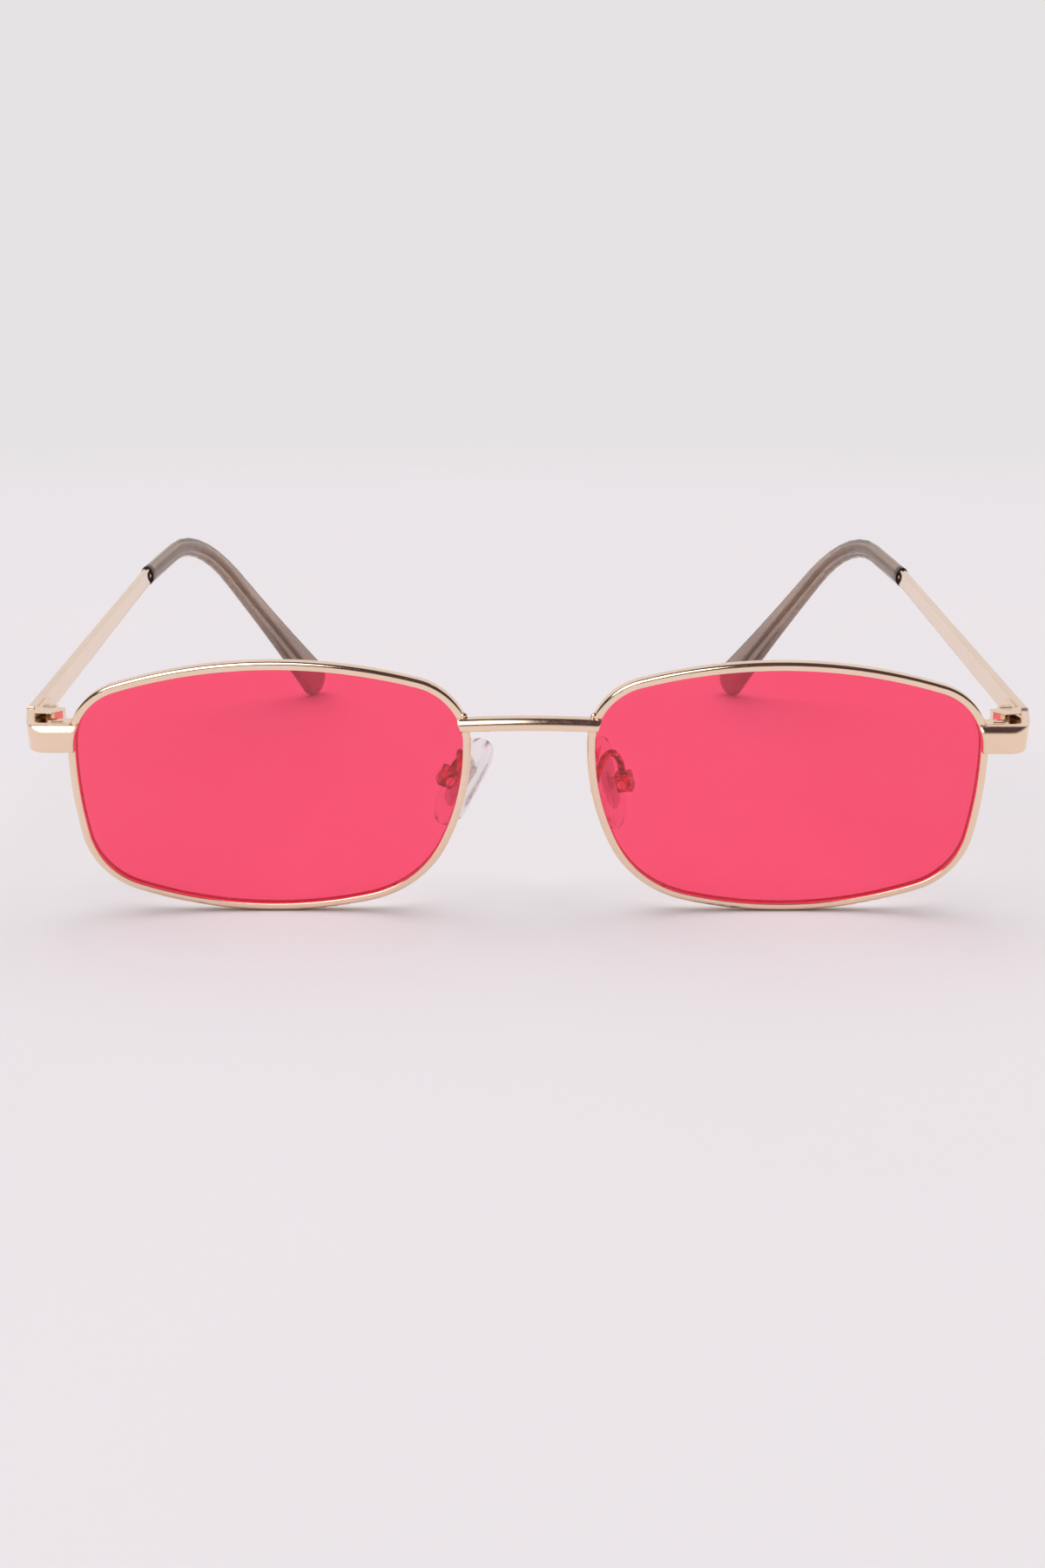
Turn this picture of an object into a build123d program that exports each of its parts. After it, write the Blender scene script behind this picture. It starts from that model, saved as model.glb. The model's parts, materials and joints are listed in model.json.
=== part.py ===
from build123d import *
import math
import os

# Narrow rectangle sunglasses, standing open on a table on the two rims and the two temple tips.
# X runs across the front, +Y from the front towards the temple tips, +Z up, in millimetres.
# Sides are the wearer's: the right side lies at negative X. Each piece is drawn on that side,
# and the left ones are its mirror images. The origin lies on the table, in the middle of the
# floor area that the glasses cover.

# Stance
front_lean = 7.5

# Rims and lenses
eye_width = 50.0
eye_height = 33.1
bridge_gap = 17.3
corner_top_temple_radius = 8.1
corner_top_nose_radius = 7.8
corner_low_nose_radius = 14.2
corner_low_temple_radius = 9.0
rim_width = 1.05
rim_depth = 1.8
rim_edge_radius = 0.52
rim_lip_radius = 0.12
lens_thickness = 1.2
lens_setback = 0.5
lens_bevel = 0.4
bevel_flat = 0.04
lens_clearance = 0.03
rim_slit = 0.1

# Bridge
bridge_low = 26.05
bridge_arch = 0.35
bridge_height = 1.5
bridge_bevel = 0.55
bridge_front = 1.0
bridge_back = 0.8
bridge_edge_bevel = 0.15

# End pieces
plate_low = 23.3
plate_height = 3.55
plate_front = 1.0
plate_back = 0.65
plate_bevel = 0.65
plate_edge_radius = 0.2
plate_reach = 5.1
corner_radius = 2.8
inner_corner_radius = 1.0
leg_thickness = 1.1
leg_spread = 1.9
seam_depth = 5.8
seam_gap = 0.12

# Rim locks
lock_reach = 3.2
lock_depth = 2.3
lock_height = 3.0
lock_edge_radius = 0.15
lock_screw_diameter = 1.0
lock_screw_head_diameter = 1.5
lock_screw_head_height = 0.4

# Hinges
hinge_height = 3.5
hinge_middle = 25.4
hinge_cant = 4.0
hinge_offset = 1.75
knuckle_radius = 1.15
knuckle_gap = 0.07
leaf_thickness = 0.6
front_leaf_length = 2.4
front_leaf_reach = 2.1
front_leaf_bevel = 1.2
temple_leaf_length = 3.0
temple_leaf_start = 1.5
temple_leaf_height = 2.4
hinge_screw_diameter = 1.1
hinge_screw_head_diameter = 1.6
hinge_screw_head_height = 0.45
screw_clearance = 0.02
turning_clearance = 0.05
screw_slot_width = 0.28
screw_slot_depth = 0.18

# Temples
bar_thickness = 1.1
bar_middle = 25.5
bar_root_height = 3.1
bar_end_height = 2.6
bar_length = 68.4
bar_edge_radius = 0.2
bar_end_gap = 0.1
core_diameter = 1.3
core_end_gap = 8.5
core_clearance = 0.05

# Temple tips
bend_distance = 98.7
bend_radius = 28.0
tip_toe_in = 5.0
drop_angle = 50.2
drop_inward = 31.5
mouth_height = 3.3
mouth_thickness = 2.2
paddle_height = 7.3
paddle_thickness = 2.9

# Nose pads. The right pad is bent in towards the nose and the left one stands wider, as worn ones do.
pad_length = 13.2
pad_width = 7.4
pad_top_radius = 2.9
pad_thickness = 2.0
pad_face_radius = 0.85
pad_back_radius = 0.5
pad_depth = 8.0
pad_middle = 15.6
right_pad_out = 8.7
left_pad_out = 10.6
right_pad_tilt = 30.0
left_pad_tilt = 14.0
pad_splay = 18.0
insert_length = 7.0
insert_width = 3.6
insert_thickness = 0.6
insert_corner_radius = 1.0
insert_cover = 0.3
pad_axis_offset = 1.5
lug_width = 1.2
box_length = 2.6
box_width = 2.0
box_depth = 2.0
box_wall = 0.3
box_corner_radius = 0.3
box_gap = 0.55
pad_screw_diameter = 0.8
pad_screw_head_diameter = 1.3
pad_screw_head_height = 0.35
arm_diameter = 0.95
arm_foot_height = 16.9
arm_top_height = 21.4
arm_top_depth = 4.1
arm_landing = 1.6

# Shares of the half sizes of the eye that its outline passes through, nose side positive
top_temple_shares = (-0.955, 0.71)
top_nose_shares = (0.981, 0.764)
low_nose_shares = (0.732, -0.803)
low_temple_shares = (-0.918, -0.696)
nose_bulge_share = 0.98
temple_bulge_share = -0.985

# Shares of an arc's length at its start, its middle and its end
arc_shares = (0, 0.5, 1)

# Counts of the temple tip's cross sections along each stretch of it, and how late it swells
tip_straight_steps = 2
tip_bend_steps = 7
tip_drop_steps = 9
tip_end_steps = 7
tip_swell_power = 3

# Directions of the leaning front: right across, up along it and straight back through it
lean = math.radians(front_lean)
across = Vector(1, 0, 0)
up = Vector(0, -math.sin(lean), math.cos(lean))
back = Vector(0, math.cos(lean), math.sin(lean))

# Heights and depths worked out from the sizes above
rim_height = eye_height + 2 * rim_width
eye_middle = rim_height / 2
half_width = eye_width / 2
half_height = eye_height / 2
eye_out = half_width + bridge_gap / 2
eye_edge_out = eye_out + half_width
corner_out = eye_edge_out + plate_reach
lock_out = eye_edge_out + lock_reach
bar_out = corner_out + leg_spread
plate_top = plate_low + plate_height
bar_centre_out = bar_out - bar_thickness / 2
bar_inner_out = bar_out - bar_thickness
hinge_out = bar_inner_out - hinge_offset
mouth_depth = seam_depth + bar_length
stand_lift = rim_edge_radius * (1 - math.cos(lean) - math.sin(lean))


def lies_at(right, height, depth):
    """Direction or step with these amounts across, up along and back through the leaning front."""
    return across * right + up * height + back * depth


# The temple tip's path in the leaning front's directions, before it is placed on the table
toe = math.radians(tip_toe_in)
drop = math.radians(drop_angle)
inward = math.radians(drop_inward)
tip_start = lies_at(math.sin(toe), 0, math.cos(toe))
tip_drop = lies_at(math.cos(drop) * math.sin(inward), -math.sin(drop), math.cos(drop) * math.cos(inward))
mouth_step = lies_at(-bar_centre_out, bar_middle, mouth_depth)
bend_step = mouth_step + tip_start * (bend_distance - bar_length)

# The round end of the paddle touches the table
end_radius = paddle_height / 2
paddle_thin = tip_drop.cross(up).normalized()
paddle_wide = paddle_thin.cross(tip_drop).normalized()
end_reach = end_radius * math.hypot(tip_drop.Z, paddle_wide.Z)
drop_length = end_radius + (bend_step.Z + stand_lift - end_reach) / -tip_drop.Z
end_step = bend_step + tip_drop * drop_length

# The origin is moved back from the rims' front to the middle of the covered floor
front_reach = -(up * (bridge_low + bridge_height) - back * bridge_front).Y
rear_reach = (end_step - tip_drop * end_radius).Y + end_radius * math.hypot(tip_drop.Y, paddle_wide.Y)
shift = Vector(0, (front_reach - rear_reach) / 2, stand_lift)


def place(right, height, depth):
    """Point at this distance to the right, height up the leaning front and depth behind its face."""
    return lies_at(right, height, depth) + shift


def face_plane(right=0, height=0, depth=0):
    """Plane along the leaning front: X right, Y up it, its normal towards the viewer."""
    return Plane(origin=place(right, height, depth), x_dir=across, z_dir=-back)


def plan_plane(height=0, right=0, depth=0):
    """Plane square to the leaning front's up direction: X right, Y back, its normal up."""
    return Plane(origin=place(right, height, depth), x_dir=across, z_dir=up)


def side_plane(right=0, height=0, depth=0):
    """Plane seen from the side: X back, Y up the front, its normal to the right."""
    return Plane(origin=place(right, height, depth), x_dir=back, z_dir=across)


def save(piece, label):
    """Name a finished piece and write it."""
    piece.label = label
    export_step(piece, f"parts/{label}.step")
    box = piece.bounding_box()
    print(label, len(piece.solids()), round(piece.volume, 2), box.min, box.max)


def save_mirrored(piece, label):
    """Write the left piece as the mirror image of a right one."""
    with BuildPart() as left:
        mirror(piece, about=Plane.YZ)
    save(left.part, label)


os.makedirs("parts", exist_ok=True)
depth_axis = Axis((0, 0, 0), back)
height_axis = Axis((0, 0, 0), up)
side_axis = Axis((0, 0, 0), across)

# Outline of one eye about its middle: four shallow arcs with rounded corners
top_temple = (top_temple_shares[0] * half_width, top_temple_shares[1] * half_height)
top_nose = (top_nose_shares[0] * half_width, top_nose_shares[1] * half_height)
low_nose = (low_nose_shares[0] * half_width, low_nose_shares[1] * half_height)
low_temple = (low_temple_shares[0] * half_width, low_temple_shares[1] * half_height)
with BuildSketch() as eye:
    with BuildLine():
        ThreePointArc(top_temple, (0, half_height), top_nose)
        ThreePointArc(top_nose, (nose_bulge_share * half_width, 0), low_nose)
        ThreePointArc(low_nose, (0, -half_height), low_temple)
        ThreePointArc(low_temple, (temple_bulge_share * half_width, 0), top_temple)
    make_face()
    for corner, radius in (
        (top_temple, corner_top_temple_radius),
        (top_nose, corner_top_nose_radius),
        (low_nose, corner_low_nose_radius),
        (low_temple, corner_low_temple_radius),
    ):
        fillet(eye.vertices().sort_by_distance(Vector(*corner))[0], radius)


def eye_outline(growth):
    """The eye's outline moved out by this much, each arc about its own centre."""
    with BuildSketch() as outline:
        with BuildLine():
            for arc in eye.edges():
                reach = 1 + growth / arc.radius
                ThreePointArc(*[arc.arc_center + (arc @ part - arc.arc_center) * reach for part in arc_shares])
        make_face()
    return outline.sketch


# Space that the right lens opening takes, through and through, and the same for the whole rim
opening_reach = plate_back + lock_depth + rim_depth
with BuildPart() as opening_space:
    with BuildSketch(face_plane(-eye_out, eye_middle, opening_reach)):
        add(eye.sketch)
    extrude(amount=2 * opening_reach)
with BuildPart() as rim_space:
    with BuildSketch(face_plane(-eye_out, eye_middle, opening_reach)):
        add(eye_outline(rim_width))
    extrude(amount=opening_reach)

# Rim: a wire with a groove for the lens, split at the temple side where the rim lock closes it
lens_middle_depth = lens_setback + lens_thickness / 2
groove_depth = lens_bevel + lens_clearance
with BuildPart() as rim:
    with BuildSketch(face_plane(-eye_out, eye_middle, rim_depth)):
        add(eye_outline(rim_width))
    extrude(amount=rim_depth)
    fillet(rim.faces().filter_by(depth_axis).edges(), rim_edge_radius)
    add(opening_space.part, mode=Mode.SUBTRACT)
    front_face = rim.faces().filter_by(depth_axis).sort_by(depth_axis)[0]
    fillet(front_face.inner_wires()[0].edges(), rim_lip_radius)
with BuildPart() as groove_space:
    with BuildSketch(face_plane(-eye_out, eye_middle, lens_middle_depth + groove_depth + bevel_flat)):
        add(eye_outline(groove_depth))
    extrude(amount=2 * (groove_depth + bevel_flat))
    chamfer(groove_space.faces().filter_by(depth_axis).edges(), groove_depth)
slit_height = plate_low + plate_height / 2
with BuildPart() as rim_right:
    add(rim.part)
    add(groove_space.part, mode=Mode.SUBTRACT)
    with BuildSketch(plan_plane(slit_height, -eye_edge_out, rim_depth / 2)):
        Rectangle(2 * (rim_width + lens_bevel) * 2, 2 * rim_depth)
    extrude(amount=rim_slit / 2, both=True, mode=Mode.SUBTRACT)
save(rim_right.part, "rim_right")
save_mirrored(rim_right.part, "rim_left")

# Lens: a flat sheet with a bevelled ridge along its edge
with BuildPart() as lens_right:
    with BuildSketch(face_plane(-eye_out, eye_middle, lens_setback + lens_thickness)):
        add(eye_outline(-lens_clearance))
    extrude(amount=lens_thickness)
with BuildPart() as lens_ridge:
    with BuildSketch(face_plane(-eye_out, eye_middle, lens_middle_depth + lens_bevel)):
        add(eye_outline(lens_bevel - lens_clearance))
    extrude(amount=2 * lens_bevel)
    chamfer(lens_ridge.faces().filter_by(depth_axis).edges(), lens_bevel - bevel_flat / 2)
with BuildPart() as lens_whole:
    add(lens_right.part)
    add(lens_ridge.part)
save(lens_whole.part, "lens_right")
save_mirrored(lens_whole.part, "lens_left")

# Bridge: a gently arched bar in front of the rims, cut off along both lens openings
bridge_reach = eye_out - half_width + rim_width + bridge_height
arch_radius = (bridge_reach**2 + bridge_arch**2) / (2 * bridge_arch)
arch_turn = math.degrees(math.asin(bridge_reach / arch_radius))
arch_axis = Axis(place(0, bridge_low + bridge_arch - arch_radius, 0), -back)
with BuildPart() as bridge_half:
    with BuildSketch(side_plane(0, bridge_low + bridge_arch)) as bridge_section:
        with BuildLine():
            Polyline(
                (-bridge_front, 0),
                (bridge_back, 0),
                (bridge_back, bridge_height),
                (bridge_bevel - bridge_front, bridge_height),
                (-bridge_front, bridge_height - bridge_bevel),
                close=True,
            )
        make_face()
        chamfer(bridge_section.vertices(), bridge_edge_bevel)
    revolve(axis=arch_axis, revolution_arc=arch_turn)
    add(opening_space.part, mode=Mode.SUBTRACT)
    add(rim_space.part, mode=Mode.SUBTRACT)
with BuildPart() as bridge:
    add(bridge_half.part)
    mirror(about=Plane.YZ)
save(bridge.part, "bridge")

# End piece: a plate across the rim's front that turns back into the leg that carries the hinge
leg_flare = leg_spread / (seam_depth + plate_front)
leg_end_depth = seam_depth - seam_gap / 2
leg_end_out = corner_out + leg_flare * (leg_end_depth + plate_front)
inner_corner_out = corner_out - leg_thickness + leg_flare * (plate_front + plate_back)
plate_inner_out = eye_edge_out - 3 * rim_width
with BuildSketch() as plate_plan:
    with BuildLine():
        Polyline(
            (-plate_inner_out, -plate_front),
            (-corner_out, -plate_front),
            (-leg_end_out, leg_end_depth),
            (-leg_end_out + leg_thickness, leg_end_depth),
            (-inner_corner_out, plate_back),
            (-plate_inner_out, plate_back),
            close=True,
        )
    make_face()
    outer_corner = Vector(-corner_out, -plate_front)
    fillet(plate_plan.vertices().sort_by_distance(outer_corner)[0], corner_radius)
    inner_corner = Vector(-inner_corner_out, plate_back)
    fillet(plate_plan.vertices().sort_by_distance(inner_corner)[0], inner_corner_radius)
with BuildPart() as leg_space:
    with BuildSketch(plan_plane(plate_low - plate_height)):
        add(plate_plan.sketch)
    extrude(amount=3 * plate_height)
with BuildPart() as end_piece_right:
    with BuildSketch(plan_plane(plate_low)):
        add(plate_plan.sketch)
    extrude(amount=plate_height)
    fillet(end_piece_right.faces().filter_by(height_axis).sort_by(height_axis)[0].edges(), plate_edge_radius)
    with BuildSketch(side_plane(-plate_inner_out + plate_height, plate_top, -plate_front)):
        with BuildLine():
            Polyline(
                (-plate_bevel, -2 * plate_bevel),
                (-plate_bevel, plate_bevel),
                (2 * plate_bevel, plate_bevel),
                close=True,
            )
        make_face()
    extrude(amount=-(leg_end_out - plate_inner_out + 2 * plate_height), mode=Mode.SUBTRACT)
    add(rim_space.part, mode=Mode.SUBTRACT)
    add(opening_space.part, mode=Mode.SUBTRACT)
save(end_piece_right.part, "end_piece_right")
save_mirrored(end_piece_right.part, "end_piece_left")

# Rim lock: two blocks behind the plate, on the two ends of the split rim, with a screw through both
lock_inner_out = plate_inner_out
lock_middle_depth = plate_back + lock_depth / 2
lock_screw_out = lock_out - lock_screw_diameter - lock_edge_radius
lock_half = (lock_height - rim_slit) / 2


def lock_block(low, head_room):
    """One half of the right rim lock from this height up, bored for the screw."""
    with BuildPart() as block:
        with BuildSketch(plan_plane(low)):
            with Locations((-(lock_inner_out + lock_out) / 2, lock_middle_depth)):
                Rectangle(lock_out - lock_inner_out, lock_depth)
        extrude(amount=lock_half)
        fillet(block.edges().filter_by(height_axis).sort_by(side_axis)[:2], lock_edge_radius)
        add(rim_space.part, mode=Mode.SUBTRACT)
        with BuildSketch(plan_plane(low)):
            with Locations((-lock_screw_out, lock_middle_depth)):
                Circle(lock_screw_diameter / 2 + screw_clearance)
        extrude(amount=lock_half, mode=Mode.SUBTRACT)
        if head_room:
            with BuildSketch(plan_plane(low + lock_half - lock_screw_head_height)):
                with Locations((-lock_screw_out, lock_middle_depth)):
                    Circle(lock_screw_head_diameter / 2 + screw_clearance)
            extrude(amount=lock_screw_head_height, mode=Mode.SUBTRACT)
    return block.part


lock_upper = lock_block(slit_height + rim_slit / 2, True)
lock_lower = lock_block(slit_height - rim_slit / 2 - lock_half, False)
save(lock_upper, "rim_lock_upper_right")
save_mirrored(lock_upper, "rim_lock_upper_left")
save(lock_lower, "rim_lock_lower_right")
save_mirrored(lock_lower, "rim_lock_lower_left")


def screw(plane, length, diameter, head_diameter, head_height):
    """A slotted screw whose head's top lies on the plane and whose shank runs back below it."""
    with BuildPart() as piece:
        with BuildSketch(plane):
            Circle(head_diameter / 2)
        extrude(amount=-head_height)
        with BuildSketch(plane):
            Circle(diameter / 2)
        extrude(amount=-length)
        with BuildSketch(plane):
            Rectangle(2 * head_diameter, screw_slot_width)
        extrude(amount=-screw_slot_depth, mode=Mode.SUBTRACT)
    return piece.part


def save_pair(right_screw, left_screw, label):
    """Write two like screws of the two sides as one node."""
    with BuildPart() as pair:
        add(right_screw)
        add(left_screw)
    save(pair.part, label)


lock_screw = screw(
    plan_plane(slit_height + rim_slit / 2 + lock_half, -lock_screw_out, lock_middle_depth),
    lock_height,
    lock_screw_diameter,
    lock_screw_head_diameter,
    lock_screw_head_height,
)
save_pair(lock_screw, lock_screw.mirror(Plane.YZ), "rim_lock_screws")

# Hinge: its axis leans in a little at the top, so that the folded temples slope and pass each other
cant = math.radians(hinge_cant)
hinge_up = lies_at(math.sin(cant), math.cos(cant), 0)
hinge_point = place(-hinge_out, hinge_middle, seam_depth)
knuckle_height = (hinge_height - 2 * knuckle_gap) / 3
middle_low = -knuckle_height / 2
top_low = middle_low + knuckle_height + knuckle_gap


def hinge_plane(height):
    """Plane square to the right hinge's axis at this height: X towards the nose, Y back."""
    return Plane(origin=hinge_point + hinge_up * height, x_dir=hinge_up.cross(-back), z_dir=hinge_up)


print("hinge point", hinge_point, "hinge up", hinge_up)

# Front leaf: a block on the leg's inner side with the upper and lower knuckle
slot_radius = knuckle_radius + knuckle_gap
leaf_reach = hinge_offset + leg_thickness / 8
with BuildPart() as hinge_front_right:
    with BuildSketch(hinge_plane(-hinge_height / 2)) as front_leaf:
        with Locations(((front_leaf_reach - leaf_reach) / 2, -front_leaf_length / 2 - knuckle_gap)):
            Rectangle(front_leaf_reach + leaf_reach, front_leaf_length)
        inner_front = Vector(front_leaf_reach, -front_leaf_length - knuckle_gap)
        chamfer(front_leaf.vertices().sort_by_distance(inner_front)[0], front_leaf_bevel)
        Circle(knuckle_radius)
    extrude(amount=hinge_height)
    with BuildSketch(hinge_plane(middle_low - knuckle_gap)):
        Circle(slot_radius)
        with Locations((0, slot_radius)):
            Rectangle(2 * slot_radius, 2 * slot_radius)
    extrude(amount=knuckle_height + 2 * knuckle_gap, mode=Mode.SUBTRACT)
    with BuildSketch(hinge_plane(-hinge_height / 2)):
        Circle(hinge_screw_diameter / 2 + screw_clearance)
    extrude(amount=hinge_height, mode=Mode.SUBTRACT)
    with BuildSketch(hinge_plane(hinge_height / 2 - hinge_screw_head_height)):
        Circle(hinge_screw_head_diameter / 2 + screw_clearance)
    extrude(amount=hinge_screw_head_height, mode=Mode.SUBTRACT)
    add(leg_space.part, mode=Mode.SUBTRACT)
save(hinge_front_right.part, "hinge_front_right")
save_mirrored(hinge_front_right.part, "hinge_front_left")

# Temple: a flat bar that tapers towards the tip and runs on as a bent core wire inside it
first_run = bend_distance - bar_length
bend_turn = math.acos(tip_start.dot(tip_drop))
bend_cut = bend_radius * math.tan(bend_turn / 2)
with BuildLine() as tip_line:
    tip_route = FilletPolyline(mouth_step + shift, bend_step + shift, end_step + shift, radius=bend_radius)
bar_root_depth = seam_depth + seam_gap / 2
bar_end_depth = mouth_depth - bar_end_gap
with BuildPart() as bar_space:
    with BuildSketch(plan_plane(bar_middle - 2 * bar_root_height, -bar_centre_out, bar_root_depth)):
        Rectangle(bar_thickness, bar_length, align=(Align.CENTER, Align.MIN))
    extrude(amount=4 * bar_root_height)
with BuildPart() as temple_bar:
    with BuildSketch(side_plane(-bar_centre_out, bar_middle, bar_root_depth)):
        with BuildLine():
            Polyline(
                (0, -bar_root_height / 2),
                (bar_end_depth - bar_root_depth, -bar_end_height / 2),
                (bar_end_depth - bar_root_depth, bar_end_height / 2),
                (0, bar_root_height / 2),
                close=True,
            )
        make_face()
    extrude(amount=bar_thickness / 2, both=True)
    long_edges = temple_bar.edges().filter_by(lambda edge: edge.length > bar_length / 2)
    fillet(long_edges, bar_edge_radius)


def along_tip(distance):
    """Plane across the right tip this far from its mouth: X across its thin way."""
    centre = tip_route.position_at(distance, position_mode=PositionMode.LENGTH)
    course = tip_route.tangent_at(distance, position_mode=PositionMode.LENGTH)
    return Plane(origin=centre, x_dir=course.cross(up).normalized(), z_dir=course)


def wire_along_tip(diameter, start, end):
    """Round wire or bore that follows the right tip between two distances from its mouth."""
    whole = tip_route.length
    with BuildPart() as wire:
        with BuildLine():
            path = add(tip_route.trim(start / whole, end / whole))
        with BuildSketch(along_tip(start)):
            Circle(diameter / 2)
        sweep(path=path)
    return wire.part


core_end = tip_route.length - core_end_gap
with BuildPart() as temple_right:
    add(temple_bar.part)
    with BuildSketch(face_plane(-bar_centre_out, bar_middle, mouth_depth)):
        Circle(core_diameter / 2)
    extrude(amount=bar_end_gap)
    add(wire_along_tip(core_diameter, 0, core_end))
save(temple_right.part, "temple_right")
save_mirrored(temple_right.part, "temple_left")

# Temple leaf: a strip on the bar's inner side with the middle knuckle
with BuildPart() as hinge_temple_right:
    with BuildSketch(hinge_plane(middle_low)):
        Circle(knuckle_radius)
        with Locations((-leaf_reach / 2, temple_leaf_start / 2 + knuckle_gap)):
            Rectangle(leaf_reach, temple_leaf_start)
    extrude(amount=knuckle_height)
    with BuildSketch(hinge_plane(-temple_leaf_height / 2)):
        with Locations((-(leaf_reach + hinge_offset - leaf_thickness) / 2, temple_leaf_start)):
            Rectangle(
                leaf_reach - hinge_offset + leaf_thickness,
                temple_leaf_length,
                align=(Align.CENTER, Align.MIN),
            )
    extrude(amount=temple_leaf_height)
    with BuildSketch(hinge_plane(middle_low)):
        Circle(hinge_screw_diameter / 2 + turning_clearance)
    extrude(amount=knuckle_height, mode=Mode.SUBTRACT)
    add(bar_space.part, mode=Mode.SUBTRACT)
save(hinge_temple_right.part, "hinge_temple_right")
save_mirrored(hinge_temple_right.part, "hinge_temple_left")

hinge_screw = screw(
    hinge_plane(hinge_height / 2),
    hinge_height,
    hinge_screw_diameter,
    hinge_screw_head_diameter,
    hinge_screw_head_height,
)
save_pair(hinge_screw, hinge_screw.mirror(Plane.YZ), "hinge_screws")

# Temple tip: a sleeve that swells from its oval mouth into a flat rounded paddle
swelling_run = tip_route.length - end_radius


def tip_section(distance, rounding):
    """Height and thickness of the tip this far from its mouth, drawn in at its round end."""
    swell = min(distance / swelling_run, 1) ** tip_swell_power
    height = mouth_height + (paddle_height - mouth_height) * swell
    thickness = mouth_thickness + (paddle_thickness - mouth_thickness) * swell
    return height * rounding / 2, thickness * rounding / 2


straight_run = first_run - bend_cut
bend_run = bend_radius * bend_turn
drop_run = swelling_run - straight_run - bend_run
tip_stations = [(straight_run * step / tip_straight_steps, 1) for step in range(tip_straight_steps)]
for step in range(tip_bend_steps):
    tip_stations.append((straight_run + bend_run * step / tip_bend_steps, 1))
for step in range(tip_drop_steps):
    tip_stations.append((straight_run + bend_run + drop_run * step / tip_drop_steps, 1))
for step in range(tip_end_steps):
    turn = math.pi / 2 * step / tip_end_steps
    tip_stations.append((swelling_run + end_radius * math.sin(turn), math.cos(turn)))
with BuildPart() as temple_tip_right:
    for distance, rounding in tip_stations:
        half_section_height, half_section_thickness = tip_section(distance, rounding)
        with BuildSketch(along_tip(distance)):
            Ellipse(half_section_thickness, half_section_height)
    loft(ruled=True)
    add(wire_along_tip(core_diameter + 2 * core_clearance, 0, core_end + core_clearance), mode=Mode.SUBTRACT)
save(temple_tip_right.part, "temple_tip_right")
save_mirrored(temple_tip_right.part, "temple_tip_left")


# Nose pad assembly: a bent arm from the rim's back, a small box, and the pad that rocks on its screw
arm_foot_out = eye_out - nose_bulge_share * half_width - rim_width / 2
box_mouth = -pad_thickness / 2 - box_gap
pad_axis = -pad_thickness / 2 - pad_axis_offset


class PadPlace:
    """Where one nose pad lies: its middle and its own directions, drawn on the right side."""

    def __init__(self, out, tilt):
        tilt_angle = math.radians(tilt)
        splay_angle = math.radians(pad_splay)
        level = lies_at(math.cos(tilt_angle), -math.sin(tilt_angle), 0)
        self.middle = place(-out, pad_middle, pad_depth)
        self.long_way = lies_at(math.sin(tilt_angle), math.cos(tilt_angle), 0)
        self.face_way = level * math.cos(splay_angle) + back * math.sin(splay_angle)
        self.wide_way = self.face_way.cross(self.long_way)

    def at(self, along, wide, out_of_face):
        """Point this far up the pad, across it to the front and out of its face."""
        return self.middle + self.long_way * along + self.wide_way * wide + self.face_way * out_of_face

    def plane(self, out_of_face=0):
        """Plane along the pad: X up it, Y to the front, its normal out of the pad's face."""
        return Plane(origin=self.at(0, 0, out_of_face), x_dir=self.long_way, z_dir=self.face_way)

    def edge_plane(self, wide=0):
        """Plane across the screw: X up the pad, Y away from its face, its normal to the front."""
        return Plane(origin=self.at(0, wide, 0), x_dir=self.long_way, z_dir=self.wide_way)


def make_insert(spot):
    """Plate inside the pad with the lug that the screw holds."""
    plate_back_face = -pad_thickness / 2 + insert_cover
    with BuildPart() as insert:
        with BuildSketch(spot.plane(plate_back_face)):
            RectangleRounded(insert_length, insert_width, insert_corner_radius)
        extrude(amount=insert_thickness)
        with BuildSketch(spot.edge_plane(-lug_width / 2)):
            with Locations((0, -pad_axis)):
                Circle(lug_width / 2)
            with Locations((0, -plate_back_face)):
                Rectangle(lug_width, plate_back_face - pad_axis, align=(Align.CENTER, Align.MIN))
        extrude(amount=lug_width)
        with BuildSketch(spot.edge_plane(-lug_width / 2)):
            with Locations((0, -pad_axis)):
                Circle(pad_screw_diameter / 2 + turning_clearance)
        extrude(amount=lug_width, mode=Mode.SUBTRACT)
    return insert.part


def make_pad(spot, insert):
    """Soft pad, narrower at its top, moulded round the insert."""
    with BuildPart() as pad:
        with BuildSketch(spot.plane(-pad_thickness / 2)):
            with Locations((pad_length / 2 - pad_top_radius, 0)):
                Circle(pad_top_radius)
            with Locations((-pad_length / 2 + pad_width / 2, 0)):
                Circle(pad_width / 2)
            make_hull()
        extrude(amount=pad_thickness)
        ends = pad.faces().filter_by(Axis((0, 0, 0), spot.face_way)).sort_by(Axis((0, 0, 0), spot.face_way))
        fillet(ends[-1].edges(), pad_face_radius)
        ends = pad.faces().filter_by(Axis((0, 0, 0), spot.face_way)).sort_by(Axis((0, 0, 0), spot.face_way))
        fillet(ends[0].edges(), pad_back_radius)
        add(insert, mode=Mode.SUBTRACT)
    return pad.part


def make_box(spot):
    """Small metal box, open towards the pad, with the screw's bore from front to back."""
    with BuildPart() as holder:
        with BuildSketch(spot.plane(box_mouth - box_depth)):
            RectangleRounded(box_length, box_width, box_corner_radius)
        extrude(amount=box_depth)
        with BuildSketch(spot.plane(box_mouth - box_depth + box_wall)):
            Rectangle(box_length - 2 * box_wall, lug_width + 2 * turning_clearance)
        extrude(amount=box_depth, mode=Mode.SUBTRACT)
        with BuildSketch(spot.edge_plane()):
            with Locations((0, -pad_axis)):
                Circle(pad_screw_diameter / 2 + screw_clearance)
        extrude(amount=box_width, both=True, mode=Mode.SUBTRACT)
    return holder.part


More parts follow.
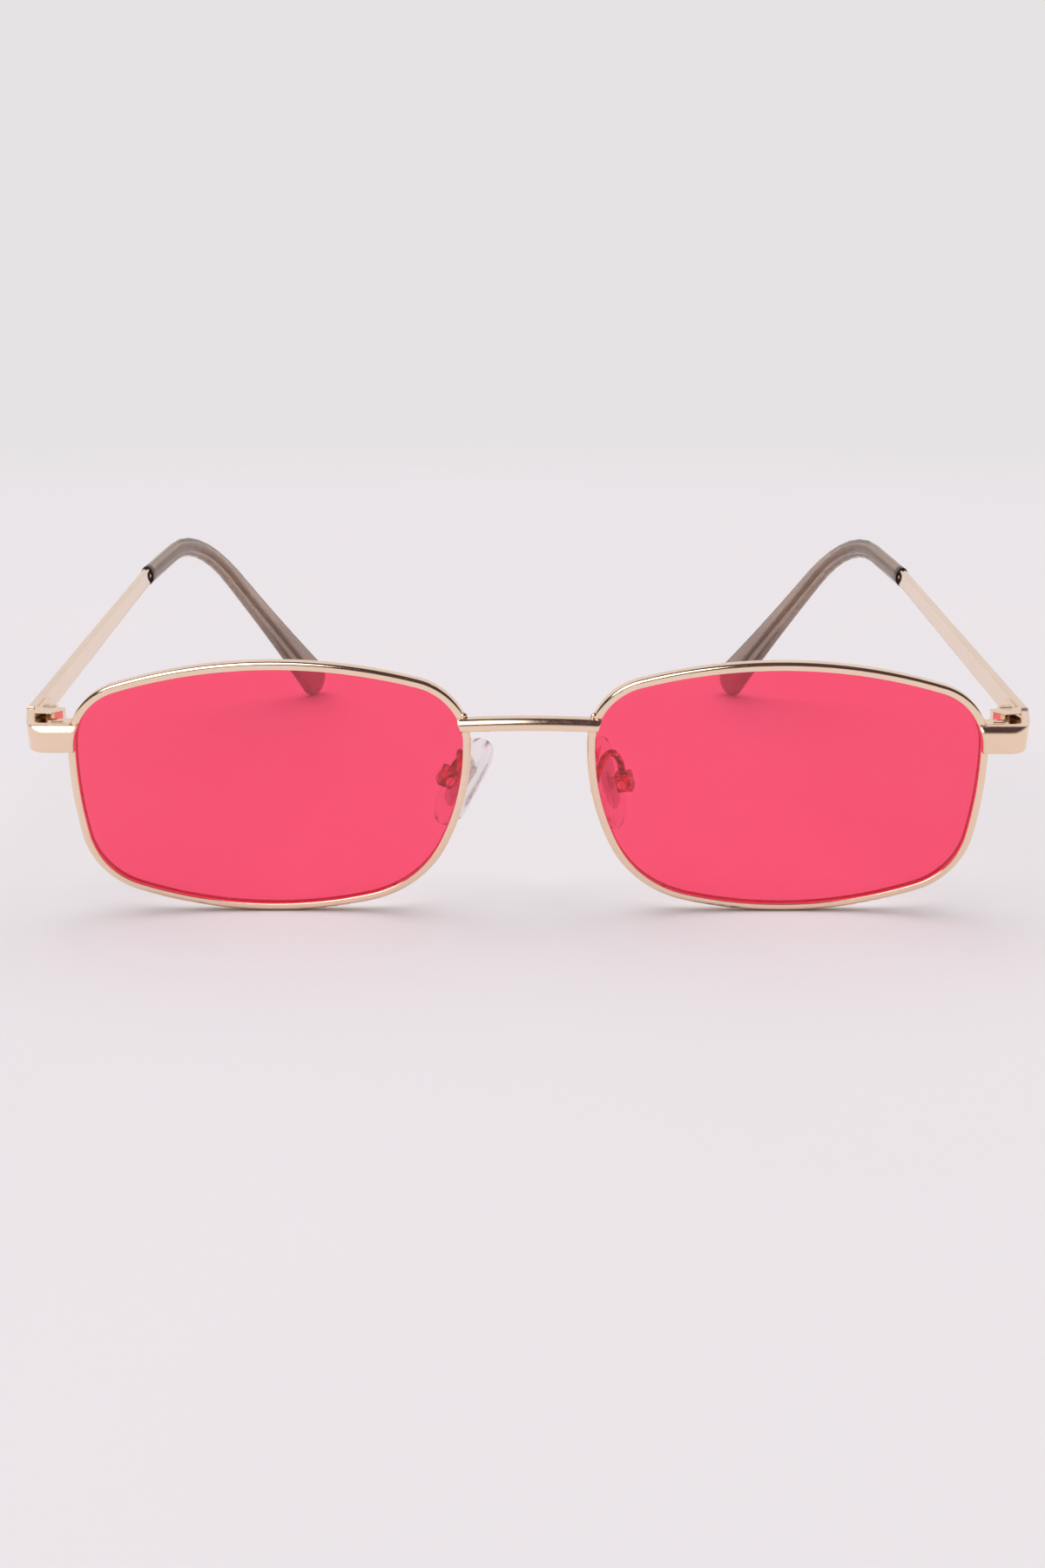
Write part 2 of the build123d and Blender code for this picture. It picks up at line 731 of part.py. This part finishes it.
def make_pad_screw(spot):
    """Screw through the box and the lug, its head at the front."""
    head_top = Plane(
        origin=spot.at(0, box_width / 2 + pad_screw_head_height, pad_axis),
        x_dir=spot.long_way,
        z_dir=spot.wide_way,
    )
    return screw(
        head_top,
        box_width + pad_screw_head_height,
        pad_screw_diameter,
        pad_screw_head_diameter,
        pad_screw_head_height,
    )


def make_arm(spot):
    """Bent wire from the rim's back, up and over, down onto the box's upper end."""
    foot = place(-arm_foot_out, arm_foot_height, rim_depth)
    landing = spot.at(box_length / 2, 0, box_mouth - box_depth / 2)
    above = landing + spot.long_way * arm_landing
    top_out = (arm_foot_out - (above - shift).X) / 2
    top = place(-top_out, arm_top_height, arm_top_depth)
    with BuildPart() as arm:
        with BuildLine() as course:
            Spline(foot, top, above, landing, tangents=(back, -spot.long_way))
        with BuildSketch(Plane(origin=foot, x_dir=across, z_dir=back)):
            Circle(arm_diameter / 2)
        sweep(path=course.line)
    return arm.part


pad_screws = []
for side, spot in (
    ("right", PadPlace(right_pad_out, right_pad_tilt)),
    ("left", PadPlace(left_pad_out, left_pad_tilt)),
):
    insert = make_insert(spot)
    pieces = {
        f"pad_arm_{side}": make_arm(spot),
        f"pad_box_{side}": make_box(spot),
        f"pad_insert_{side}": insert,
        f"nose_pad_{side}": make_pad(spot, insert),
    }
    pad_screw = make_pad_screw(spot)
    if side == "left":
        pieces = {label: piece.mirror(Plane.YZ) for label, piece in pieces.items()}
        pad_screw = pad_screw.mirror(Plane.YZ)
    for label, piece in pieces.items():
        save(piece, label)
    pad_screws.append(pad_screw)
    print(side, "pad axis point", spot.at(0, 0, pad_axis), "axis", spot.wide_way)
save_pair(pad_screws[0], pad_screws[1], "pad_screws")
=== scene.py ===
import json
import math
import random
import bmesh
import bpy
from mathutils import Matrix, Vector


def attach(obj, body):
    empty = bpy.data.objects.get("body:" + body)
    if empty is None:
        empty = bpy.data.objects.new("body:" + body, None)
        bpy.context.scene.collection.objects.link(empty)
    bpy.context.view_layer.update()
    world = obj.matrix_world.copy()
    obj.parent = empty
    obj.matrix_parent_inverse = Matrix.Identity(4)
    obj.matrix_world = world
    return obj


MM = 0.001
FULL_TURN = 2 * math.pi

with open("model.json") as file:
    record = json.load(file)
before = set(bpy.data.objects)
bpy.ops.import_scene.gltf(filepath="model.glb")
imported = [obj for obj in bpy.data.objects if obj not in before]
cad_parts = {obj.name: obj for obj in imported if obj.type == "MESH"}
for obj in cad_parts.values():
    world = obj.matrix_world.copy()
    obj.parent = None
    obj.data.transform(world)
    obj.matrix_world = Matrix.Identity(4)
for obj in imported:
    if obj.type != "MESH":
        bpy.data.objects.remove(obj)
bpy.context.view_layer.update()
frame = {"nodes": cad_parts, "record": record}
nodes = frame["nodes"]


def linear(red, green, blue):
    """Linear colour from sRGB values between 0 and 255."""
    def channel(value):
        share = value / 255
        return share / 12.92 if share <= 0.04045 else ((share + 0.055) / 1.055) ** 2.4
    return channel(red), channel(green), channel(blue), 1.0


def add_object(name, data):
    """A new object around a mesh or camera, linked to the scene."""
    piece = bpy.data.objects.new(name, data)
    bpy.context.scene.collection.objects.link(piece)
    return piece


# Nodes

# The range that noise seldom leaves
NOISE_LOW = 0.3
NOISE_HIGH = 0.7

# Numbers of a Mix node's sockets for colours, whose names repeat
MIX_FACTOR = 0
MIX_FIRST = 6
MIX_SECOND = 7
MIX_RESULT = 2


def add_node(tree, kind, values=None, **settings):
    """A node with these settings and input values.

    values is {socket name or number: number, colour or source socket}.
    """
    node = tree.nodes.new(kind)
    for key, value in settings.items():
        setattr(node, key, value)
    for key, value in (values or {}).items():
        socket = node.inputs[key]
        if isinstance(value, bpy.types.NodeSocket):
            tree.links.new(value, socket)
        else:
            socket.default_value = value
    return node


def own_place(tree):
    """Coordinates in the object's own space."""
    return add_node(tree, "ShaderNodeTexCoord").outputs["Object"]


def noise(tree, place, scale, detail=3.0, roughness=0.5):
    """Noise over a place; scale counts per metre."""
    return add_node(
        tree, "ShaderNodeTexNoise",
        {"Vector": place, "Scale": scale, "Detail": detail, "Roughness": roughness},
    ).outputs["Fac"]


def spread(tree, factor, low, high):
    """Numbers between low and high that follow noise."""
    return add_node(
        tree, "ShaderNodeMapRange",
        {
            "Value": factor, "From Min": NOISE_LOW, "From Max": NOISE_HIGH,
            "To Min": low, "To Max": high,
        },
    ).outputs["Result"]


def smooth_step(tree, value, low, high):
    """0 below low, 1 above high and smooth between them."""
    return add_node(
        tree, "ShaderNodeMapRange",
        {"Value": value, "From Min": low, "From Max": high, "To Min": 0.0, "To Max": 1.0},
        interpolation_type="SMOOTHSTEP",
    ).outputs["Result"]


def mixed(tree, factor, first, second):
    """Colours or colour sockets mixed by a factor."""
    values = {MIX_FACTOR: factor, MIX_FIRST: first, MIX_SECOND: second}
    return add_node(tree, "ShaderNodeMix", values, data_type="RGBA").outputs[MIX_RESULT]


def drifting(tree, place, scale, first, second):
    """A colour that drifts between two by noise."""
    return mixed(tree, spread(tree, noise(tree, place, scale), 0.0, 1.0), first, second)


def combined(tree, operation, first, second):
    """Two numbers joined by a maths operation."""
    values = {0: first, 1: second}
    return add_node(tree, "ShaderNodeMath", values, operation=operation).outputs["Value"]


def surface_mix(tree, factor, first, second):
    """Two shaders mixed by a factor and joined to the material's output."""
    mix = add_node(tree, "ShaderNodeMixShader", {"Fac": factor, 1: first, 2: second})
    add_node(tree, "ShaderNodeOutputMaterial", {"Surface": mix.outputs["Shader"]})


# Materials

GLOSS_SCALE = 900.0
GLOSS_LOW = 0.7
GLOSS_HIGH = 1.4
BUFFING_SCALE = 4200.0
BUFFING_DEPTH = 0.00002
EDGE_SAMPLES = 6


def new_material(name):
    """An empty node material and its node tree."""
    material = bpy.data.materials.new(name)
    material.use_nodes = True
    tree = material.node_tree
    tree.nodes.clear()
    return material, tree


def polished_metal(
    name, colour, deep_colour, edge_radius, roughness=0.09, grain=0.08, drift_scale=180.0,
):
    """Plated metal: colour drift between two colours (slight, unless it paints glints and dark
    reflections), faint buffing marks, fine uneven gloss and rounded edges.

    edge_radius is in millimetres.
    """
    material, tree = new_material(name)
    place = own_place(tree)
    plate = drifting(tree, place, drift_scale, colour, deep_colour)
    gloss = spread(
        tree, noise(tree, place, GLOSS_SCALE, detail=5.0, roughness=0.6),
        roughness * GLOSS_LOW, roughness * GLOSS_HIGH,
    )
    marks = noise(tree, place, BUFFING_SCALE, detail=4.0, roughness=0.7)
    rounded = add_node(
        tree, "ShaderNodeBevel", {"Radius": edge_radius * MM}, samples=EDGE_SAMPLES,
    ).outputs["Normal"]
    bump = add_node(
        tree, "ShaderNodeBump",
        {"Height": marks, "Strength": grain, "Distance": BUFFING_DEPTH, "Normal": rounded},
    ).outputs["Normal"]
    shader = add_node(
        tree, "ShaderNodeBsdfPrincipled",
        {"Base Color": plate, "Metallic": 1.0, "Roughness": gloss, "Normal": bump},
    ).outputs["BSDF"]
    add_node(tree, "ShaderNodeOutputMaterial", {"Surface": shader})
    return material


def clear_shader(tree, colour, ior, roughness, transmission):
    """See-through shader."""
    return add_node(
        tree, "ShaderNodeBsdfPrincipled",
        {
            "Base Color": colour, "IOR": ior, "Roughness": roughness,
            "Transmission Weight": transmission,
        },
    )


def let_light_through(tree, shader, shade):
    """Join a see-through shader to the material's output.

    Light that falls on the object passes in the shade's colour, so that its shadow is tinted and
    not black.
    """
    path = add_node(tree, "ShaderNodeLightPath")
    lighting = combined(
        tree, "MAXIMUM", path.outputs["Is Shadow Ray"], path.outputs["Is Diffuse Ray"],
    )
    passing = add_node(tree, "ShaderNodeBsdfTransparent", {"Color": shade})
    surface_mix(tree, lighting, shader.outputs["BSDF"], passing.outputs["BSDF"])


LENS_CLOUD_SCALE = 60.0
LENS_DYE = (1.0, 0.077, 0.168, 1.0)
LENS_CLOUD = (1.0, 0.086, 0.182, 1.0)
# Painted light: the lens glows faintly in its own rose colour, which brightens it though it is no
# lamp
LENS_PAINTED_GLOW = (1.0, 0.04, 0.12, 1.0)
LENS_PAINTED_GLOW_STRENGTH = 0.05
LENS_SHADE = (1.0, 0.92, 0.93, 1.0)


def tinted_lens(name):
    """Rose lens: even dye with the faintest cloudiness, a polished face and a faint painted glow,
    light it gives off though it is no lamp.
    """
    material, tree = new_material(name)
    place = own_place(tree)
    dye = drifting(tree, place, LENS_CLOUD_SCALE, LENS_DYE, LENS_CLOUD)
    gloss = spread(tree, noise(tree, place, scale=500.0, detail=4.0), low=0.0, high=0.03)
    shader = clear_shader(tree, dye, ior=1.5, roughness=gloss, transmission=1.0)
    # Painted light: a faint rose emission on a lens that is no lamp
    shader.inputs["Emission Color"].default_value = LENS_PAINTED_GLOW
    shader.inputs["Emission Strength"].default_value = LENS_PAINTED_GLOW_STRENGTH
    let_light_through(tree, shader, LENS_SHADE)
    return material


# The paddle's painted shade ends between these two heights, the mouth's painted shade between one
# and two rims behind it
PADDLE_SHADE_LOW = 13.0 * MM
PADDLE_SHADE_HIGH = 23.0 * MM
MOUTH_SHADE_RIM = 0.8 * MM
SLEEVE_DRIFT_SCALE = 120.0
SLEEVE_TINT = (0.55, 0.41, 0.33, 1.0)
SLEEVE_DRIFT = (0.49, 0.36, 0.29, 1.0)
PADDLE_PAINTED_SHADE = (0.40, 0.28, 0.23, 1.0)
MOUTH_PAINTED_SHADE = (0.02, 0.015, 0.013, 1.0)
TIP_SHADE = (0.45, 0.40, 0.38, 1.0)
mouth_back = min(vertex.co.y for vertex in nodes["temple_tip_right"].data.vertices)


def smoke_plastic_with_painted_shade(name):
    """Translucent smoke-brown sleeve with painted shade: darker towards its low paddle and
    near-black at its mouth.
    """
    material, tree = new_material(name)
    place = own_place(tree)
    parts = add_node(tree, "ShaderNodeSeparateXYZ", {"Vector": place})
    clear_of_paddle_shade = smooth_step(tree, parts.outputs["Z"], PADDLE_SHADE_LOW, PADDLE_SHADE_HIGH)
    clear_of_mouth_shade = smooth_step(
        tree, parts.outputs["Y"], mouth_back + MOUTH_SHADE_RIM, mouth_back + 2 * MOUTH_SHADE_RIM,
    )
    sleeve = drifting(tree, place, SLEEVE_DRIFT_SCALE, SLEEVE_TINT, SLEEVE_DRIFT)
    # Painted shade: the sleeve darkens towards its low paddle, below a given height
    body = mixed(tree, clear_of_paddle_shade, PADDLE_PAINTED_SHADE, sleeve)
    # Painted shade: near-black in the first rims behind the sleeve's mouth, where the opening lies
    # in shadow
    tint = mixed(tree, clear_of_mouth_shade, MOUTH_PAINTED_SHADE, body)
    gloss = spread(tree, noise(tree, place, scale=700.0, detail=4.0), low=0.06, high=0.16)
    shader = clear_shader(tree, tint, ior=1.45, roughness=gloss, transmission=0.85)
    let_light_through(tree, shader, TIP_SHADE)
    return material


# Lower than real silicone's, so that the thin pad's outline stays pale
SILICONE_IOR = 1.18
SILICONE_DRIFT_SCALE = 200.0
SILICONE_TINT = (0.98, 0.93, 0.94, 1.0)
SILICONE_DRIFT = (0.95, 0.90, 0.91, 1.0)
SILICONE_SHADE = (0.97, 0.94, 0.95, 1.0)


def clear_silicone(name):
    """Clear soft pad, a little hazy, with the faintest rose tone."""
    material, tree = new_material(name)
    place = own_place(tree)
    haze = spread(tree, noise(tree, place, scale=350.0, detail=4.0), low=0.05, high=0.16)
    tint = drifting(tree, place, SILICONE_DRIFT_SCALE, SILICONE_TINT, SILICONE_DRIFT)
    shader = clear_shader(tree, tint, SILICONE_IOR, roughness=haze, transmission=0.97)
    let_light_through(tree, shader, SILICONE_SHADE)
    return material


GOLD = (0.96, 0.745, 0.57, 1.0)
DEEP_GOLD = (0.93, 0.715, 0.53, 1.0)

gold = polished_metal("gold_plate", GOLD, DEEP_GOLD, edge_radius=0.14)
bar_gold = polished_metal("gold_bar_plate", GOLD, DEEP_GOLD, edge_radius=0.34)
plate_gold = polished_metal("gold_end_plate", GOLD, DEEP_GOLD, edge_radius=0.6)
temple_gold = polished_metal(
    "temple_plate", (0.93, 0.75, 0.61, 1.0), (0.90, 0.72, 0.57, 1.0), edge_radius=0.34,
)
screw_gold = polished_metal(
    "screw_plate", (0.86, 0.66, 0.48, 1.0), (0.78, 0.58, 0.42, 1.0), edge_radius=0.05,
    roughness=0.18, grain=0.2,
)
# Pad boxes and arms: painted glints and painted dark reflections, the colour drifting in small
# patches between bright orange and near-black
glint_painted_gold = polished_metal(
    "pad_box_painted_glints", (0.90, 0.50, 0.28, 1.0), (0.03, 0.012, 0.008, 1.0), edge_radius=0.3,
    roughness=0.06, grain=0.5, drift_scale=1300.0,
)
pale_metal = polished_metal(
    "insert_plate", (0.93, 0.82, 0.80, 1.0), (0.88, 0.76, 0.75, 1.0), edge_radius=0.05,
    roughness=0.2, grain=0.1,
)
lens_rose = tinted_lens("rose_lens")
smoke = smoke_plastic_with_painted_shade("smoke_tip")
silicone = clear_silicone("clear_silicone")

material_of_slot = {
    "gold_metal": gold,
    "screw_metal": screw_gold,
    "pad_metal": glint_painted_gold,
    "tinted_lens": lens_rose,
    "smoke_tip": smoke,
    "clear_pad": silicone,
}
material_of_node = {
    "bridge": bar_gold,
    "end_piece_right": plate_gold,
    "end_piece_left": plate_gold,
    "temple_right": temple_gold,
    "temple_left": temple_gold,
    "pad_arm_right": glint_painted_gold,
    "pad_arm_left": glint_painted_gold,
    "pad_insert_right": pale_metal,
    "pad_insert_left": pale_metal,
}
for entry in frame["record"]["subparts"]:
    node_name = entry["node"]
    surface = material_of_node.get(node_name, material_of_slot[entry["material_slot"]])
    nodes[node_name].data.materials.clear()
    nodes[node_name].data.materials.append(surface)


# Solder beads where the bridge and the end pieces meet the rims

FRONT_LEAN = math.radians(7.5)
FRONT_UP = Vector((0.0, -math.sin(FRONT_LEAN), math.cos(FRONT_LEAN)))
FRONT_BACK = Vector((0.0, math.cos(FRONT_LEAN), math.sin(FRONT_LEAN)))
SEAM_BAND = 0.8 * MM
BEAD_INSET = 0.3 * MM
PLATE_BEAD_DROP = 0.45 * MM
BEAD_WIDE = 0.50 * MM
BEAD_DEEP = 0.46 * MM
BEAD_HIGH = 0.48 * MM
BEAD_RINGS = 10
BEAD_SIDES = 16
SWELLS = 3
SWELL_SIZES = (0.04, 0.1)
SWELL_COUNTS = (2, 3)


def up_front(point):
    """Height of a point along the leaning front."""
    return point.dot(FRONT_UP)


def top_of(name):
    """Greatest height of a node along the leaning front."""
    return max(up_front(vertex.co) for vertex in nodes[name].data.vertices)


def rim_edge(side, height, out):
    """Front point near a rim's outer edge at a height, on its temple side or else its nose side."""
    points = [vertex.co for vertex in nodes["rim_" + side].data.vertices]
    front_depth = min(point.dot(FRONT_BACK) for point in points)
    near = [abs(point.x) for point in points if abs(up_front(point) - height) < SEAM_BAND]
    across = max(near) - BEAD_INSET if out else min(near) + BEAD_INSET
    sign = -1.0 if side == "right" else 1.0
    return Vector((sign * across, 0.0, 0.0)) + FRONT_UP * height + FRONT_BACK * front_depth


def solder_bead(name, centre, seed):
    """A small lump of solder: a ball with low uneven swells."""
    draw = random.Random(seed)
    swells = [
        (draw.uniform(*SWELL_SIZES), draw.randint(*SWELL_COUNTS), draw.uniform(0, FULL_TURN))
        for _ in range(SWELLS)
    ]
    shape = bmesh.new()
    poles = [shape.verts.new((0, 0, BEAD_HIGH)), shape.verts.new((0, 0, -BEAD_HIGH))]
    rings = []
    for ring in range(1, BEAD_RINGS):
        polar = math.pi * ring / BEAD_RINGS
        loop = []
        for side in range(BEAD_SIDES):
            turn = FULL_TURN * side / BEAD_SIDES
            waves = sum(size * math.sin(count * turn + start) for size, count, start in swells)
            swell = 1 + waves * math.sin(polar)
            loop.append(shape.verts.new((
                BEAD_WIDE * swell * math.sin(polar) * math.cos(turn),
                BEAD_DEEP * swell * math.sin(polar) * math.sin(turn),
                BEAD_HIGH * math.cos(polar),
            )))
        rings.append(loop)
    for side in range(BEAD_SIDES):
        after = (side + 1) % BEAD_SIDES
        shape.faces.new((poles[0], rings[0][side], rings[0][after]))
        shape.faces.new((poles[1], rings[-1][after], rings[-1][side]))
        for upper, lower in zip(rings, rings[1:]):
            shape.faces.new((upper[side], lower[side], lower[after], upper[after]))
    for face in shape.faces:
        face.smooth = True
    for vert in shape.verts:
        vert.co = vert.co + centre
    mesh = bpy.data.meshes.new(name)
    shape.to_mesh(mesh)
    shape.free()
    bead = add_object(name, mesh)
    bead.data.materials.append(gold)
    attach(bead, "front")


bridge_top = top_of("bridge")
plate_top = top_of("end_piece_right") - PLATE_BEAD_DROP
seams = [
    ("bridge", "right", bridge_top),
    ("bridge", "left", bridge_top),
    ("plate", "right", plate_top),
    ("plate", "left", plate_top),
]
for seed, (seam, side, height) in enumerate(seams):
    edge = rim_edge(side, height, out=seam == "plate")
    solder_bead(f"solder_bead_{seam}_{side}", edge + FRONT_BACK * BEAD_DEEP, seed)


# Floor, which fades into the backdrop's colour far from the glasses

FLOOR_COLOUR = linear(233, 227, 229)
FLOOR_DRIFT = linear(231, 226, 228)
FLOOR_DRIFT_SCALE = 9.0
BACK_COLOUR = linear(230, 227, 228)
FLOOR_REACH = 6.0
FADE_START = 0.35
FADE_END = 1.2

floor_mesh = bpy.data.meshes.new("floor")
floor_corners = [
    (-FLOOR_REACH, -FLOOR_REACH, 0.0),
    (FLOOR_REACH, -FLOOR_REACH, 0.0),
    (FLOOR_REACH, FLOOR_REACH, 0.0),
    (-FLOOR_REACH, FLOOR_REACH, 0.0),
]
floor_mesh.from_pydata(floor_corners, [], [(0, 1, 2, 3)])
floor_mesh.update()
floor = add_object("floor", floor_mesh)
material, tree = new_material("floor_paper")
place = own_place(tree)
paper = drifting(tree, place, FLOOR_DRIFT_SCALE, FLOOR_COLOUR, FLOOR_DRIFT)
diffuse = add_node(
    tree, "ShaderNodeBsdfPrincipled",
    {"Base Color": paper, "Roughness": 0.9, "Specular IOR Level": 0.1},
).outputs["BSDF"]
glow = add_node(
    tree, "ShaderNodeEmission", {"Color": BACK_COLOUR, "Strength": 1.0},
).outputs["Emission"]
distance = add_node(
    tree, "ShaderNodeVectorMath", {0: place}, operation="LENGTH",
).outputs["Value"]
surface_mix(tree, smooth_step(tree, distance, FADE_START, FADE_END), diffuse, glow)
floor.data.materials.append(material)


# World: a room with a pale backdrop behind and low all round, dark above and towards the camera.
# A round softbox overhead lights the floor, and polished metal mirrors another one, in front on
# the left, in its place. The camera sees the plain backdrop, also through glass.

# Borders are components of a unit direction, radii and the softbox edge are in degrees
DARK_ROOM = (0.08, 0.048, 0.055, 1.0)
ABOVE_BORDER = (0.10, 0.20)
BEHIND_BORDER = (0.25, 0.45)
OVERHEAD_BORDER = (0.72, 0.85)
OVERHEAD_LIGHT = (2.27, 2.31, 2.34, 1.0)
OVERHEAD_WAY = Vector((-0.1, 0.15, 0.95)).normalized()
OVERHEAD_RADIUS = 38.0
MIRRORED_LIGHT = (3.3, 3.35, 3.4, 1.0)
MIRRORED_WAY = Vector((-0.41, -0.51, 0.76)).normalized()
MIRRORED_RADIUS = 24.5
SOFTBOX_EDGE = 1.5


def with_softbox(tree, direction, room, light, way, radius):
    """The room with a round patch of light around a way."""
    along = add_node(
        tree, "ShaderNodeVectorMath", {0: direction, 1: way}, operation="DOT_PRODUCT",
    ).outputs["Value"]
    inside = smooth_step(
        tree, along,
        math.cos(math.radians(radius + SOFTBOX_EDGE)),
        math.cos(math.radians(radius - SOFTBOX_EDGE)),
    )
    return mixed(tree, inside, room, light)


world = bpy.data.worlds.new("studio")
bpy.context.scene.world = world
world.use_nodes = True
tree = world.node_tree
tree.nodes.clear()
direction = add_node(tree, "ShaderNodeTexCoord").outputs["Generated"]
parts = add_node(tree, "ShaderNodeSeparateXYZ", {"Vector": direction})
above = smooth_step(tree, parts.outputs["Z"], *ABOVE_BORDER)
behind = smooth_step(tree, parts.outputs["Y"], *BEHIND_BORDER)
overhead = smooth_step(tree, parts.outputs["Z"], *OVERHEAD_BORDER)
open_side = combined(tree, "SUBTRACT", 1.0, behind)
dark_share = combined(tree, "MULTIPLY", above, combined(tree, "MAXIMUM", open_side, overhead))
room = mixed(tree, dark_share, BACK_COLOUR, DARK_ROOM)
path = add_node(tree, "ShaderNodeLightPath")
lit_room = mixed(
    tree, path.outputs["Is Glossy Ray"],
    with_softbox(tree, direction, room, OVERHEAD_LIGHT, OVERHEAD_WAY, OVERHEAD_RADIUS),
    with_softbox(tree, direction, room, MIRRORED_LIGHT, MIRRORED_WAY, MIRRORED_RADIUS),
)
seen = combined(
    tree, "MAXIMUM", path.outputs["Is Camera Ray"], path.outputs["Is Transmission Ray"],
)
shown = mixed(tree, seen, lit_room, BACK_COLOUR)
background = add_node(tree, "ShaderNodeBackground", {"Color": shown, "Strength": 1.0})
add_node(tree, "ShaderNodeOutputWorld", {"Surface": background.outputs["Background"]})


# Camera at the photograph's place; angles are in degrees

CAMERA_PLACE = Vector((-2.01, -258.17, 72.87)) * MM
CAMERA_DOWN = 15.98
CAMERA_YAW = -0.359
CAMERA_ROLL = 0.159


def rotation(degrees, axis):
    """Rotation matrix around an axis."""
    return Matrix.Rotation(math.radians(degrees), 3, axis)


camera_data = bpy.data.cameras.new("camera")
camera_data.sensor_width = 36.0
camera_data.lens = 35.0
camera_data.clip_start = 0.01
camera_data.clip_end = 50.0
camera = add_object("camera", camera_data)
camera.location = CAMERA_PLACE
turned = rotation(CAMERA_YAW, "Z") @ rotation(90 - CAMERA_DOWN, "X") @ rotation(CAMERA_ROLL, "Z")
camera.rotation_euler = turned.to_euler()
bpy.context.scene.camera = camera

bpy.context.scene.view_settings.view_transform = "Standard"
